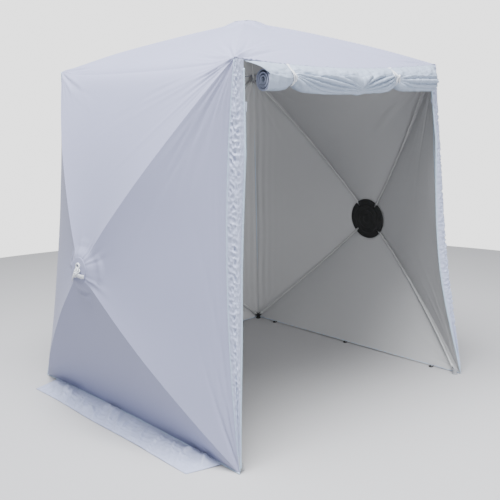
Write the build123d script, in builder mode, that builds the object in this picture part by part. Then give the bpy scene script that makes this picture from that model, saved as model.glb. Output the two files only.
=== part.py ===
"""A pop-up hub shelter: three walls and a roof, each a square of fabric on four sprung poles.

In every one of these four faces the poles run from the corners to one hub, which is pulled out
past the plane of the corners and holds the fabric tight. Pushed the other way, the hub goes
through that plane and the face turns inside out, which is how the shelter is struck.
The front has no poles: it is a doorway with its door rolled up under the eave.

Millimetres. +Z is up, +Y runs from the doorway to the back wall, +X is to the right.
The origin is on the ground, in the middle of the whole footprint.
"""

import os
from math import atan2, cos, degrees, hypot, radians, sin, tan

from build123d import *

os.makedirs("parts", exist_ok=True)

# ---------------------------------------------------------------- driving dimensions
BASE = 1800.0  # side of the square that the bottom corners stand on
TOP = 1505.0  # side of the square of the top corners
WALL_HEIGHT = 1836.0  # ground to the top corners
HUB_HEIGHT = 820.0  # ground to the wall hubs, in the plane of the wall's corners
WALL_BULGE = 310.0  # how far a wall hub stands out from the plane of its corners
ROOF_RISE = 253.0  # the same for the roof hub
WALL_BOW = 40.0  # how far the fabric over a wall pole bows past a straight line
ROOF_BOW = 20.0

# fabric
FABRIC = 1.2  # thickness of a panel
HEM_RADIUS = 4.0  # rolled hems and corded seams
HINGE_INSET = 14.0  # from an edge of a face to the seam that its panel folds on
RIDGE_GAP_CORNER = 18.0  # room beside a pole, where panels come together as they pass flat
RIDGE_GAP_HUB = 48.0
APEX_TRIM = 130.0  # panels stop this far from the hub's axis
SEAM_TRIM = 42.0  # corded seams stop this far from the corners
HEM_TRIM = 70.0  # panel hems stop this far from the corners

# poles
POLE_RADIUS = 5.0
FERRULE_RADIUS = 6.0
FERRULE_LENGTH = 30.0
PIVOT_INSET = 60.0  # from a corner to the pin of its pole
PIVOT_DEPTH = 20.0  # poles lie this far inside the fabric, at both ends
EYE_RADIUS = 7.0
EYE_WIDTH = 12.0
PIN_RADIUS = 2.5
PIN_CLEARANCE = 0.06

# hubs
DISC_RADIUS = 137.0
DISC_THICKNESS = 4.0
NOTCH_DEPTH = 30.0
CORE_RADIUS = 60.0
CHANNEL_WIDTH = 14.0
CHANNEL_START = 11.0  # the channels for the poles begin this far from the hub's axis
CHANNEL_BELOW = 16.0  # room in a channel under a pole's axis, and over it
CHANNEL_ABOVE = 17.0
POLE_END_RADIUS = 58.0  # where the poles end in an opened hub
CROSS_PIN_RADIUS = 2.0
CROSS_PIN_LENGTH = 13.0
PLATE_THICKNESS = 3.0

# corner fittings
FITTING_SETBACK = 26.0  # from the two planes that meet at a corner to the fitting's centre
FITTING_RADIUS = 13.0
FITTING_HEIGHT = 27.0
FOOT_RADIUS = 17.0
FOOT_HEIGHT = 8.0
CHEEK_THICKNESS = 3.0
CHEEK_GAP = 0.5

# ground skirts and peg loops
SKIRT_WIDTH = 172.0
SKIRT_INNER_INSET = 122.0  # from a corner to the skirt's end, beside the wall
SKIRT_OUTER_INSET = 172.0  # the same at its outer edge
SKIRT_THICKNESS = 1.5
LOOP_SPACING = 700.0
LOOP_SIZE = 34.0
LOOP_THICKNESS = 2.5
EYELET_RADIUS = 5.0

# doorway
JAMB_WIDTH_TOP = 52.0
JAMB_WIDTH_BOTTOM = 10.0
JAMB_OFFSET = 10.0  # from the corner seam to the edge of the jamb strip
JAMB_THICKNESS = 1.5
ROLL_RADIUS = 46.0
ROLL_NECK_RADIUS = 38.0
ROLL_DROP = 95.0  # from the eave to the middle of the rolled door
ROLL_LEFT = -592.0
ROLL_RIGHT = 728.0
TIE_PLACES = (-424.0, 342.0)
TIE_WIDTH = 22.0
TIE_THICKNESS = 2.0
ZIP_WIDTH = 5.0
ZIP_THICKNESS = 2.4
ZIP_SEAM = 0.1  # between a zip's chain and the strip it is sewn to
ZIP_TOP_DROP = 190.0  # from the eave to the top of the zips
ZIP_BOTTOM = 30.0
SLIDER_LENGTH = 24.0
SLIDER_WIDTH = 12.0
SLIDER_WALL = 1.6

# ---------------------------------------------------------------- worked out from them
LEAN = atan2((BASE - TOP) / 2, WALL_HEIGHT)  # walls lean in by this angle
PULL_HEIGHT = 14.0  # the pull rings stand this far out of the hubs
FRONT_REACH = BASE / 2
BACK_REACH = BASE / 2 - HUB_HEIGHT * tan(LEAN) + (WALL_BULGE + PULL_HEIGHT) * cos(LEAN)
CENTRE_Y = -(BACK_REACH - FRONT_REACH) / 2  # the middle of the base square
UP = Vector(0, 0, 1)


class Face:
    """Four corners in one plane, and a hub that stands out from it.

    A point of the face is (u, v, w): u runs to its right and v up it, seen from outside, and w
    outwards. The hub's axis is u = v = 0. Corners and edges run anticlockwise from the lower left.
    """

    def __init__(self, name, plane, corners, bulge, bow, sides):
        low, plus, high, minus = sides
        self.name = name
        self.plane = plane
        self.corners = [Vector(u, v) for u, v in corners]
        self.bulge = bulge
        self.bow = bow
        self.edge_names = [low, plus, high, minus]
        self.corner_names = [
            f"{low}_{minus}",
            f"{low}_{plus}",
            f"{high}_{plus}",
            f"{high}_{minus}",
        ]

    def at(self, place, w=0.0):
        """The point of the model at place (u, v) and height w over the face's plane."""
        return self.plane.from_local_coords(Vector(place.X, place.Y, w))

    def towards(self, direction):
        """A direction (u, v) of the face as a direction of the model."""
        return self.plane.x_dir * direction.X + self.plane.y_dir * direction.Y

    @property
    def outward(self):
        return self.plane.z_dir


def wall_plane(turn):
    """The plane of the four corners of the wall that faces turn degrees round from +X."""
    level = Vector(cos(radians(turn)), sin(radians(turn)), 0)
    outward = level * cos(LEAN) + UP * sin(LEAN)
    foot = Vector(0, CENTRE_Y, HUB_HEIGHT) + level * (BASE / 2 - HUB_HEIGHT * tan(LEAN))
    return Plane(origin=foot, x_dir=UP.cross(level), z_dir=outward)


BELOW_HUB = HUB_HEIGHT / cos(LEAN)
ABOVE_HUB = (WALL_HEIGHT - HUB_HEIGHT) / cos(LEAN)
WALL_CORNERS = [
    (-BASE / 2, -BELOW_HUB),
    (BASE / 2, -BELOW_HUB),
    (TOP / 2, ABOVE_HUB),
    (-TOP / 2, ABOVE_HUB),
]
ROOF_CORNERS = [
    (-TOP / 2, -TOP / 2),
    (TOP / 2, -TOP / 2),
    (TOP / 2, TOP / 2),
    (-TOP / 2, TOP / 2),
]


def wall(name, turn, plus, minus):
    sides = ("bottom", plus, "top", minus)
    return Face(name, wall_plane(turn), WALL_CORNERS, WALL_BULGE, WALL_BOW, sides)


LEFT = wall("left", 180, "front", "back")
BACK = wall("back", 90, "left", "right")
RIGHT = wall("right", 0, "back", "front")
ROOF = Face(
    "roof",
    Plane(origin=(0, CENTRE_Y, WALL_HEIGHT), x_dir=(1, 0, 0), z_dir=(0, 0, 1)),
    ROOF_CORNERS,
    ROOF_RISE,
    ROOF_BOW,
    ("front", "right", "back", "left"),
)
FACES = [LEFT, BACK, RIGHT, ROOF]
FRONT_PLANE = wall_plane(270)


def save(part, name):
    part.label = name
    export_step(part, f"parts/{name}.step")


# ---------------------------------------------------------------- fabric panels
class Panel:
    """One of a face's four triangles of fabric: where it folds, and its outline."""

    def __init__(self, face, number):
        self.face = face
        self.name = f"{face.name}_panel_{face.edge_names[number]}"
        self.start = face.corners[number]
        self.end = face.corners[(number + 1) % 4]
        self.length = (self.end - self.start).length
        self.along = (self.end - self.start).normalized()
        self.inward = Vector(-self.along.Y, self.along.X)
        self.edge_to_hub = -self.start.dot(self.inward)
        self.depth = self.edge_to_hub - HINGE_INSET
        self.hinge_point = face.at(self.start + self.inward * HINGE_INSET)
        self.hinge_axis = face.towards(self.along)

    def section_plane(self, from_corner):
        """Across the panel, with x running from the hinge to the hub and y outwards."""
        origin = self.hinge_point + self.hinge_axis * from_corner
        return Plane(
            origin=origin, x_dir=self.face.towards(self.inward), z_dir=self.hinge_axis
        )

    def beside_pole(self, corner, side, inset):
        """The point beside a corner's pole at a given distance from the panel's edge."""
        to_hub = -corner.normalized()
        clear = Vector(to_hub.Y, -to_hub.X) * side
        near, far = corner + clear * RIDGE_GAP_CORNER, clear * RIDGE_GAP_HUB
        near_inset = (near - self.start).dot(self.inward)
        far_inset = (far - self.start).dot(self.inward)
        share = (inset - near_inset) / (far_inset - near_inset)
        point = near + (far - near) * share
        return (point.X, point.Y)

    def outline(self):
        outer = HINGE_INSET - HEM_RADIUS
        inner = self.edge_to_hub - APEX_TRIM
        return [
            self.beside_pole(self.start, 1, outer),
            self.beside_pole(self.end, -1, outer),
            self.beside_pole(self.end, -1, inner),
            self.beside_pole(self.start, 1, inner),
        ]


PANELS = [Panel(face, number) for face in FACES for number in range(4)]

for panel in PANELS:
    rise = panel.face.bulge
    crown = rise / 2 + panel.face.bow
    with BuildPart() as sheet:
        with BuildSketch(panel.section_plane(0)):
            with BuildLine():
                inside = ThreePointArc((0, 0), (panel.depth / 2, crown), (panel.depth, rise))
                outside = ThreePointArc(
                    (0, FABRIC), (panel.depth / 2, crown + FABRIC), (panel.depth, rise + FABRIC)
                )
                Line(inside @ 0, outside @ 0)
                Line(inside @ 1, outside @ 1)
            make_face()
        extrude(amount=panel.length)
        with BuildSketch(panel.face.plane):
            with BuildLine():
                Polyline(*panel.outline(), close=True)
            make_face()
        extrude(amount=2 * WALL_BULGE, both=True, mode=Mode.INTERSECT)
        with BuildSketch(panel.section_plane(HEM_TRIM)):
            Circle(HEM_RADIUS)
        extrude(amount=panel.length - 2 * HEM_TRIM)
    save(sheet.part, panel.name)


# ---------------------------------------------------------------- poles
class Pole:
    """A sprung rod from a corner's pin to a channel in the hub."""

    def __init__(self, face, number):
        self.face = face
        self.name = f"{face.name}_pole_{face.corner_names[number]}"
        self.corner = face.corners[number]
        self.to_hub = -self.corner.normalized()
        self.pivot = face.at(self.corner + self.to_hub * PIVOT_INSET, -PIVOT_DEPTH)
        self.reach = self.corner.length - PIVOT_INSET - POLE_END_RADIUS
        x_dir = face.towards(self.to_hub)
        self.plane = Plane(
            origin=self.pivot, x_dir=x_dir, z_dir=x_dir.cross(face.outward)
        )


POLES = [Pole(face, number) for face in FACES for number in range(4)]

for pole in POLES:
    crown = pole.face.bulge / 2 + pole.face.bow
    with BuildPart() as rod:
        with BuildLine(pole.plane):
            line = ThreePointArc((0, 0), (pole.reach / 2, crown), (pole.reach, pole.face.bulge))
        with BuildSketch(Plane(origin=line @ 0, z_dir=line % 0)):
            Circle(POLE_RADIUS)
        sweep()
        with BuildSketch(Plane(origin=line @ 1, z_dir=-(line % 1))):
            Circle(FERRULE_RADIUS)
        extrude(amount=FERRULE_LENGTH)
        cross_pin = Plane(origin=line @ 1, x_dir=line % 1, z_dir=pole.plane.z_dir)
        with BuildSketch(cross_pin.offset(-CROSS_PIN_LENGTH / 2)):
            Circle(CROSS_PIN_RADIUS)
        extrude(amount=CROSS_PIN_LENGTH)
        with BuildSketch(pole.plane.offset(-EYE_WIDTH / 2)):
            Circle(EYE_RADIUS)
        extrude(amount=EYE_WIDTH)
        with BuildSketch(pole.plane.offset(-EYE_WIDTH / 2)):
            Circle(PIN_RADIUS + PIN_CLEARANCE)
        extrude(amount=EYE_WIDTH, mode=Mode.SUBTRACT)
    save(rod.part, pole.name)


# ---------------------------------------------------------------- hubs
POLE_LEVEL = -PIVOT_DEPTH  # of the poles' ends, from the fabric's peak over the hub
CORE_BOTTOM = POLE_LEVEL - CHANNEL_BELOW
CORE_TOP = POLE_LEVEL + CHANNEL_ABOVE


def channel_sketch(face, start, end):
    """The plan of the four slots that the poles lie in, from start to end off the hub's axis."""
    for corner in face.corners:
        out = corner.normalized()
        middle = out * ((start + end) / 2)
        with Locations((middle.X, middle.Y)):
            Rectangle(end - start, CHANNEL_WIDTH, rotation=degrees(atan2(out.Y, out.X)))


RIB_RADII = (94.0, 62.0)
RIB_WIDTH = 3.0
RIB_HEIGHT = 2.0
DOME_RADIUS = 34.0
SPIGOT_RADIUS = 4.0

for face in FACES:
    at_hub = face.plane.offset(face.bulge)

    # the large disc that the poles are pushed against, seen from inside the shelter
    with BuildPart() as disc:
        with BuildSketch(at_hub.offset(CORE_BOTTOM)):
            Circle(DISC_RADIUS)
            with BuildSketch(mode=Mode.SUBTRACT):
                channel_sketch(face, DISC_RADIUS - NOTCH_DEPTH, DISC_RADIUS + NOTCH_DEPTH)
        extrude(amount=-DISC_THICKNESS)
        with BuildSketch(at_hub.offset(CORE_BOTTOM - DISC_THICKNESS)):
            for rib_radius in RIB_RADII:
                Circle(rib_radius)
                Circle(rib_radius - RIB_WIDTH, mode=Mode.SUBTRACT)
            Circle(DOME_RADIUS)
        extrude(amount=-RIB_HEIGHT)
        with BuildSketch(at_hub.offset(CORE_BOTTOM)):
            Circle(SPIGOT_RADIUS)
        extrude(amount=CHANNEL_BELOW)
    save(disc.part, f"{face.name}_hub_disc")

    # the core: four walls with the poles' channels between them, under a round outer plate
    with BuildPart() as core:
        with BuildSketch(at_hub.offset(CORE_BOTTOM)):
            Circle(CORE_RADIUS)
            with BuildSketch(mode=Mode.SUBTRACT):
                channel_sketch(face, CHANNEL_START, CORE_RADIUS + CHANNEL_START)
            Circle(SPIGOT_RADIUS + PIN_CLEARANCE, mode=Mode.SUBTRACT)
        extrude(amount=CORE_TOP - CORE_BOTTOM)
        with BuildSketch(at_hub.offset(CORE_TOP)):
            Circle(CORE_RADIUS)
        extrude(amount=PLATE_THICKNESS)
        top_edge = core.edges().filter_by(GeomType.CIRCLE).sort_by(
            lambda edge: (edge.center() - at_hub.origin).dot(at_hub.z_dir)
        )[-1]
        fillet(top_edge, radius=PLATE_THICKNESS / 2)
    save(core.part, f"{face.name}_hub_core")

    # the pull: a ring on the outer plate and the folded webbing tied to it
    ring_radius, ring_wire = 14.0, 2.5
    webbing_length, webbing_width, webbing_thickness = 78.0, 22.0, 8.0
    with BuildPart() as pull:
        with BuildSketch(at_hub.offset(CORE_TOP + PLATE_THICKNESS)):
            Circle(ring_radius)
            Circle(ring_radius - 2 * ring_wire, mode=Mode.SUBTRACT)
        extrude(amount=2 * ring_wire)
        with BuildSketch(at_hub.offset(CORE_TOP + PLATE_THICKNESS)):
            with Locations((0, -ring_radius - webbing_width / 2)):
                RectangleRounded(webbing_length, webbing_width, webbing_width / 3)
        extrude(amount=webbing_thickness)
    save(pull.part, f"{face.name}_hub_pull")


# ---------------------------------------------------------------- corner fittings
def base_corners():
    return [Vector(x * BASE / 2, CENTRE_Y + y * BASE / 2, 0) for x in (-1, 1) for y in (-1, 1)]


def top_corners():
    return [
        Vector(x * TOP / 2, CENTRE_Y + y * TOP / 2, WALL_HEIGHT) for x in (-1, 1) for y in (-1, 1)
    ]


def inside_of(corner, rise):
    """The middle of the fitting at a corner: set back from both planes, and up or down by rise."""
    x = -FITTING_SETBACK if corner.X > 0 else FITTING_SETBACK
    y = -FITTING_SETBACK if corner.Y > CENTRE_Y else FITTING_SETBACK
    return corner + Vector(x, y, rise)


def make_fitting(corner, rise, foot):
    """A boss with a pair of cheeks and a pin for every pole that meets the corner."""
    middle = inside_of(corner, rise)
    with BuildPart() as fitting:
        with Locations(middle):
            Cylinder(FITTING_RADIUS, FITTING_HEIGHT)
        if foot:
            with BuildSketch(Plane(origin=(middle.X, middle.Y, 0))):
                Circle(FOOT_RADIUS)
            extrude(amount=FOOT_HEIGHT)
        for pole in POLES:
            if (pole.face.at(pole.corner) - corner).length > 1:
                continue
            boss = pole.plane.to_local_coords(middle)
            arm = hypot(boss.X, boss.Y)
            lean = degrees(atan2(boss.Y, boss.X))
            for side in (-1, 1):
                inner_face = side * (EYE_WIDTH / 2 + CHEEK_GAP)
                with BuildSketch(pole.plane.offset(inner_face)):
                    with Locations((boss.X / 2, boss.Y / 2)):
                        SlotCenterToCenter(arm, 2 * EYE_RADIUS, rotation=lean)
                extrude(amount=side * CHEEK_THICKNESS)
            span = EYE_WIDTH / 2 + CHEEK_GAP + CHEEK_THICKNESS
            with BuildSketch(pole.plane.offset(-span)):
                Circle(PIN_RADIUS)
            extrude(amount=2 * span)
    return fitting.part


BOTTOM_FITTING_RISE = 18.0
TOP_FITTING_DROP = -27.0
save(
    Compound([make_fitting(c, BOTTOM_FITTING_RISE, True) for c in base_corners()]),
    "bottom_corner_fittings",
)
save(
    Compound([make_fitting(c, TOP_FITTING_DROP, False) for c in top_corners()]),
    "top_corner_fittings",
)


# ---------------------------------------------------------------- corded seams
def cord_between(start, end, trim):
    """A round cord from start to end, trimmed at both."""
    way = (end - start).normalized()
    with BuildPart() as cord:
        with BuildSketch(Plane(origin=start + way * trim, z_dir=way)):
            Circle(HEM_RADIUS)
        extrude(amount=(end - start).length - 2 * trim)
    return cord.part


FRONT_LEFT, BACK_LEFT, FRONT_RIGHT, BACK_RIGHT = range(4)
low, high = base_corners(), top_corners()
on_ground = [corner + UP * HEM_RADIUS for corner in low]

save(
    Compound([cord_between(a, b, SEAM_TRIM) for a, b in zip(low, high)]),
    "corner_seams",
)
eave_runs = [
    (FRONT_LEFT, FRONT_RIGHT),
    (FRONT_RIGHT, BACK_RIGHT),
    (BACK_RIGHT, BACK_LEFT),
    (BACK_LEFT, FRONT_LEFT),
]
save(
    Compound([cord_between(high[a], high[b], SEAM_TRIM) for a, b in eave_runs]),
    "eave_seams",
)
save(
    Compound([cord_between(on_ground[a], on_ground[b], SEAM_TRIM) for a, b in eave_runs[1:]]),
    "ground_hems",
)

# ---------------------------------------------------------------- ground skirts and peg loops
SKIRT_CLEARANCE = 1.0


def ground_plane(turn):
    """On the ground at the foot of a wall: x along the wall, y outwards."""
    level = Vector(cos(radians(turn)), sin(radians(turn)), 0)
    foot = Vector(0, CENTRE_Y, 0) + level * (BASE / 2)
    return Plane(origin=foot, x_dir=level.cross(UP), z_dir=UP)


WALL_TURNS = {"left": 180, "back": 90, "right": 0}

for name, turn in WALL_TURNS.items():
    near = HEM_RADIUS + SKIRT_CLEARANCE
    inner = BASE / 2 - SKIRT_INNER_INSET
    outer = BASE / 2 - SKIRT_OUTER_INSET
    with BuildPart() as skirt:
        with BuildSketch(ground_plane(turn)):
            with BuildLine():
                Polyline(
                    (-inner, near),
                    (inner, near),
                    (outer, SKIRT_WIDTH),
                    (-outer, SKIRT_WIDTH),
                    close=True,
                )
            make_face()
        extrude(amount=SKIRT_THICKNESS)
    save(skirt.part, f"{name}_skirt")


# square loops just inside the foot of each wall, each with an eyelet for a peg
LOOP_INSET = HEM_RADIUS + SKIRT_CLEARANCE + LOOP_SIZE / 2
loops = []
for turn in WALL_TURNS.values():
    for along in (-LOOP_SPACING, 0.0, LOOP_SPACING):
        with BuildPart() as loop:
            with BuildSketch(ground_plane(turn)):
                with Locations((along, -LOOP_INSET)):
                    RectangleRounded(LOOP_SIZE, LOOP_SIZE, LOOP_SIZE / 5)
                    Circle(EYELET_RADIUS, mode=Mode.SUBTRACT)
            extrude(amount=LOOP_THICKNESS)
        loops.append(loop.part)
save(Compound(loops), "peg_loops")


# ---------------------------------------------------------------- doorway
def jamb_edge(height, side, width):
    """The point (u, v) of the front plane at a height, width in from the corner seam."""
    half = BASE / 2 - height * tan(LEAN)
    return (side * (half - JAMB_OFFSET - width), (height - HUB_HEIGHT) / cos(LEAN))


def jamb_width(height):
    share = height / WALL_HEIGHT
    return JAMB_WIDTH_BOTTOM + (JAMB_WIDTH_TOP - JAMB_WIDTH_BOTTOM) * share


JAMB_BOTTOM = 34.0
ROLL_CLEARANCE = 8.0
BELOW_ROLL = WALL_HEIGHT - ROLL_DROP - ROLL_RADIUS - ROLL_CLEARANCE
JAMBS = {"left": (-1, WALL_HEIGHT - JAMB_OFFSET), "right": (1, BELOW_ROLL)}

for name, (side, top) in JAMBS.items():
    with BuildPart() as jamb:
        with BuildSketch(FRONT_PLANE):
            with BuildLine():
                Polyline(
                    jamb_edge(JAMB_BOTTOM, side, 0),
                    jamb_edge(JAMB_BOTTOM, side, jamb_width(JAMB_BOTTOM)),
                    jamb_edge(top, side, jamb_width(top)),
                    jamb_edge(top, side, 0),
                    close=True,
                )
            make_face()
        extrude(amount=JAMB_THICKNESS)
    save(jamb.part, f"{name}_jamb")

# the door, rolled up on itself, and the flat top of it that hangs from the eave
roll_axis = Vector(0, CENTRE_Y - TOP / 2 - ROLL_DROP * tan(LEAN), WALL_HEIGHT - ROLL_DROP)
neck_slope = 40.0
HEADER_TOP = WALL_HEIGHT - HEM_RADIUS - SKIRT_CLEARANCE

roll_outline = [(ROLL_LEFT, 0), (ROLL_LEFT, ROLL_RADIUS)]
for tie in TIE_PLACES:
    roll_outline += [
        (tie - TIE_WIDTH / 2 - neck_slope, ROLL_RADIUS),
        (tie - TIE_WIDTH / 2 - SKIRT_CLEARANCE, ROLL_NECK_RADIUS),
        (tie + TIE_WIDTH / 2 + SKIRT_CLEARANCE, ROLL_NECK_RADIUS),
        (tie + TIE_WIDTH / 2 + neck_slope, ROLL_RADIUS),
    ]
roll_outline += [(ROLL_RIGHT, ROLL_RADIUS), (ROLL_RIGHT, 0)]

with BuildPart() as door:
    with BuildSketch(Plane(origin=roll_axis, x_dir=(1, 0, 0), z_dir=(0, -1, 0))):
        with BuildLine():
            Polyline(*roll_outline, close=True)
        make_face()
    revolve(axis=Axis(roll_axis, (1, 0, 0)))
    with BuildSketch(Plane(origin=roll_axis, x_dir=(1, 0, 0), z_dir=(0, -1, 0))):
        with Locations(((ROLL_LEFT + ROLL_RIGHT) / 2, (HEADER_TOP - roll_axis.Z) / 2)):
            Rectangle(ROLL_RIGHT - ROLL_LEFT, HEADER_TOP - roll_axis.Z)
        for tie in TIE_PLACES:
            with Locations((tie, ROLL_NECK_RADIUS + ROLL_RADIUS)):
                Rectangle(TIE_WIDTH + 2 * SKIRT_CLEARANCE, 2 * ROLL_RADIUS, mode=Mode.SUBTRACT)
    extrude(amount=JAMB_THICKNESS / 2, both=True)
save(door.part, "rolled_door")

# the ties: a band round each neck of the roll, with its two tails hanging from the knot
TIE_TAIL = 46.0
ties = []
for tie in TIE_PLACES:
    band_plane = Plane(
        origin=roll_axis + Vector(tie - TIE_WIDTH / 2, 0, 0), x_dir=(0, 1, 0), z_dir=(1, 0, 0)
    )
    inner = ROLL_NECK_RADIUS + CHEEK_GAP
    with BuildPart() as band:
        with BuildSketch(band_plane):
            Circle(inner + TIE_THICKNESS)
            Circle(inner, mode=Mode.SUBTRACT)
            with Locations((-inner - TIE_THICKNESS / 2, -TIE_TAIL / 2)):
                Rectangle(TIE_THICKNESS, TIE_TAIL)
        extrude(amount=TIE_WIDTH)
    ties.append(band.part)
save(Compound(ties), "door_ties")


# ---------------------------------------------------------------- zips
class Zip:
    """A zip up one side of the doorway, with its slider parked at the top."""

    def __init__(self, name, side):
        self.name = name
        self.side = side
        top = WALL_HEIGHT - ZIP_TOP_DROP
        gap = ZIP_WIDTH / 2 + ZIP_SEAM
        low_u, low_v = jamb_edge(ZIP_BOTTOM, side, jamb_width(ZIP_BOTTOM) + gap)
        high_u, high_v = jamb_edge(top, side, jamb_width(top) + gap)
        self.low = FRONT_PLANE.from_local_coords(Vector(low_u, low_v, JAMB_THICKNESS / 2))
        self.high = FRONT_PLANE.from_local_coords(Vector(high_u, high_v, JAMB_THICKNESS / 2))
        self.length = (self.high - self.low).length
        self.up = (self.high - self.low).normalized()
        self.across = self.up.cross(FRONT_PLANE.z_dir) * side

    def plane(self, distance):
        """Across the zip at a distance up it, with x towards the jamb strip."""
        return Plane(origin=self.low + self.up * distance, x_dir=self.across, z_dir=self.up)


ZIPS = [Zip("left_zip", -1), Zip("right_zip", 1)]

chains = []
for zip_side in ZIPS:
    with BuildPart() as chain:
        with BuildSketch(zip_side.plane(0)):
            Rectangle(ZIP_WIDTH, ZIP_THICKNESS)
        extrude(amount=zip_side.length)
    chains.append(chain.part)
save(Compound(chains), "zip_chains")

# a slider is a channel round the chain, slotted for the edge of the jamb strip, with a pull tab
SLIDER_GAP = 0.5
TAB_LENGTH = 38.0
TAB_WIDTH = 8.0
TAB_THICKNESS = 1.5

for zip_side in ZIPS:
    depth = ZIP_THICKNESS + 2 * (SLIDER_GAP + SLIDER_WALL)
    outer_face = -zip_side.side * depth / 2
    foot_at = zip_side.length - SLIDER_LENGTH
    with BuildPart() as slider:
        with BuildSketch(zip_side.plane(foot_at)):
            Rectangle(SLIDER_WIDTH, depth)
            Rectangle(
                ZIP_WIDTH + 2 * SLIDER_GAP, ZIP_THICKNESS + 2 * SLIDER_GAP, mode=Mode.SUBTRACT
            )
            with Locations((SLIDER_WIDTH / 2, 0)):
                Rectangle(SLIDER_WIDTH, JAMB_THICKNESS + 2 * SLIDER_GAP, mode=Mode.SUBTRACT)
        extrude(amount=SLIDER_LENGTH)
        with BuildSketch(zip_side.plane(foot_at - TAB_LENGTH / 2)):
            with Locations((0, outer_face - zip_side.side * TAB_THICKNESS / 2)):
                Rectangle(TAB_WIDTH, TAB_THICKNESS)
        extrude(amount=TAB_LENGTH)
    save(slider.part, f"{zip_side.name}_slider")
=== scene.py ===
"""Looks for the pop-up hub shelter: cloth, poles, hubs, rolled door, light and camera.

Metres, in the frame of the CAD model: +Z up, +Y from the doorway to the back wall, +X to the right.
"""

from math import atan2, cos, pi, radians, sin, tan

import bmesh
import bpy
import numpy as np
from mathutils import Matrix, Vector


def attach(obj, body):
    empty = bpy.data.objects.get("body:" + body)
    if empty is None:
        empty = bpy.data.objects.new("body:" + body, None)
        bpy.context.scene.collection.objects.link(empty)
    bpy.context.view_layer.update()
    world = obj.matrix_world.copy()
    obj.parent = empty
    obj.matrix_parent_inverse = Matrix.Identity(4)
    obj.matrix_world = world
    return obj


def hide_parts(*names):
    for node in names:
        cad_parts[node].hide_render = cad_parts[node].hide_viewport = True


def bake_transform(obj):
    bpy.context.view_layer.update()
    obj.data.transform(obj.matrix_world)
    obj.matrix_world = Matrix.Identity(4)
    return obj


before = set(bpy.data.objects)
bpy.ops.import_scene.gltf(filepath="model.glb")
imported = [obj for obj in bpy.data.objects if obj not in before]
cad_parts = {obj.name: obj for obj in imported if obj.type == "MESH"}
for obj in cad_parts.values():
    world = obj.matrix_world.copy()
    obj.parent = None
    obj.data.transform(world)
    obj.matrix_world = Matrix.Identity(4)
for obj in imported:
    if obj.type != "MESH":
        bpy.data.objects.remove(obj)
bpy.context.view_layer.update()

# ---------------- sizes shared with the CAD model
BASE = 1.800
TOP = 1.505
WALL_HEIGHT = 1.836
HUB_HEIGHT = 0.820
WALL_BULGE = 0.310
ROOF_RISE = 0.253
WALL_BOW = 0.040
ROOF_BOW = 0.020
PULL_HEIGHT = 0.014
PIVOT_INSET = 0.060
PIVOT_DEPTH = 0.020
POLE_END_RADIUS = 0.058
POLE_RADIUS = 0.005
DISC_RADIUS = 0.137
DISC_LEVEL = -0.040  # of the disc's face, from the fabric's peak over the hub
NOTCH_DEPTH = 0.030
NOTCH_HALF_WIDTH = 0.0060
PLATE_RADIUS = 0.060
LEAN = atan2((BASE - TOP) / 2, WALL_HEIGHT)
BACK_REACH = BASE / 2 - HUB_HEIGHT * tan(LEAN) + (WALL_BULGE + PULL_HEIGHT) * cos(LEAN)
CENTRE_Y = -(BACK_REACH - BASE / 2) / 2
SKIRT_WIDTH = 0.172
SKIRT_INNER_INSET = 0.122
SKIRT_OUTER_INSET = 0.172
ROLL_RADIUS = 0.047
ROLL_DROP = 0.095
ROLL_LEFT = -0.592
ROLL_RIGHT = 0.728
TIES = (-0.424, 0.342)
LOOP_SPACING = 0.700
LOOP_SIZE = 0.034

# ---------------- sizes of the cloth alone
CLOTH = 0.0010  # thickness of the drawn cloth
FLAT_UNTIL = 0.06  # share of the way to the hub that stays put when the hub is pushed through
MOVES_FROM = 0.90  # share of the way from which the cloth moves with the hub
PANEL_END = 0.965  # the panels stop here, under the patch over the hub
HUB_HOLDS = 0.075  # how far past its plate the hub holds the cloth out
HUB_FOLD_HEIGHT = 0.0032
RIM_COVER = 0.0095  # the cloth's height over the disc's face where the rim pushes it out
RIM_MARGIN = 0.004  # how far past the rim the cloth keeps that height
RIM_SLOPE = 1.2  # how steeply it falls from there
RIM_SOFTNESS = 0.0025  # how softly it bends there
SLACK = 0.0020  # height of the broad waves in a panel
GROUND_CLEARANCE = 0.003  # no panel reaches lower
UP = np.array((0.0, 0.0, 1.0))


# ---------------- small tools
def unit(vector):
    vector = np.asarray(vector, float)
    return vector / np.linalg.norm(vector)


def level_way(turn):
    """The level direction at an angle from +X, in degrees."""
    return np.array((cos(radians(turn)), sin(radians(turn)), 0.0))


def smooth(x):
    """0 below 0, 1 above 1, and an even curve between them."""
    x = np.clip(x, 0.0, 1.0)
    return x * x * (3 - 2 * x)


def ripples(x, y, size, seed, count=18):
    """Random relief of about -1 to 1 at places (x, y), with features of about the given size."""
    rng = np.random.default_rng(seed)
    total = np.zeros(np.broadcast(x, y).shape)
    for _ in range(count):
        angle = rng.uniform(0, pi)
        pitch = size * rng.uniform(0.7, 1.8)
        phase = rng.uniform(0, 2 * pi)
        total += np.sin(2 * pi * (x * cos(angle) + y * sin(angle)) / pitch + phase)
    return total / (count / 2) ** 0.5 / 1.5


def mesh_object(name, points, faces, materials, face_slots=None, smooth_shaded=True):
    mesh = bpy.data.meshes.new(name)
    mesh.from_pydata([tuple(p) for p in points], [], faces)
    for material in materials:
        mesh.materials.append(material)
    if face_slots is not None:
        mesh.polygons.foreach_set("material_index", face_slots)
    mesh.polygons.foreach_set("use_smooth", [smooth_shaded] * len(mesh.polygons))
    mesh.update()
    obj = bpy.data.objects.new(name, mesh)
    bpy.context.scene.collection.objects.link(obj)
    return obj


def grid_normals(grid):
    """Unit normals at the points of a grid of shape (rows, columns, 3)."""
    down = np.gradient(grid, axis=0)
    across = np.gradient(grid, axis=1)
    normal = np.cross(across, down)
    length = np.linalg.norm(normal, axis=2, keepdims=True)
    return normal / np.maximum(length, 1e-12)


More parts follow.
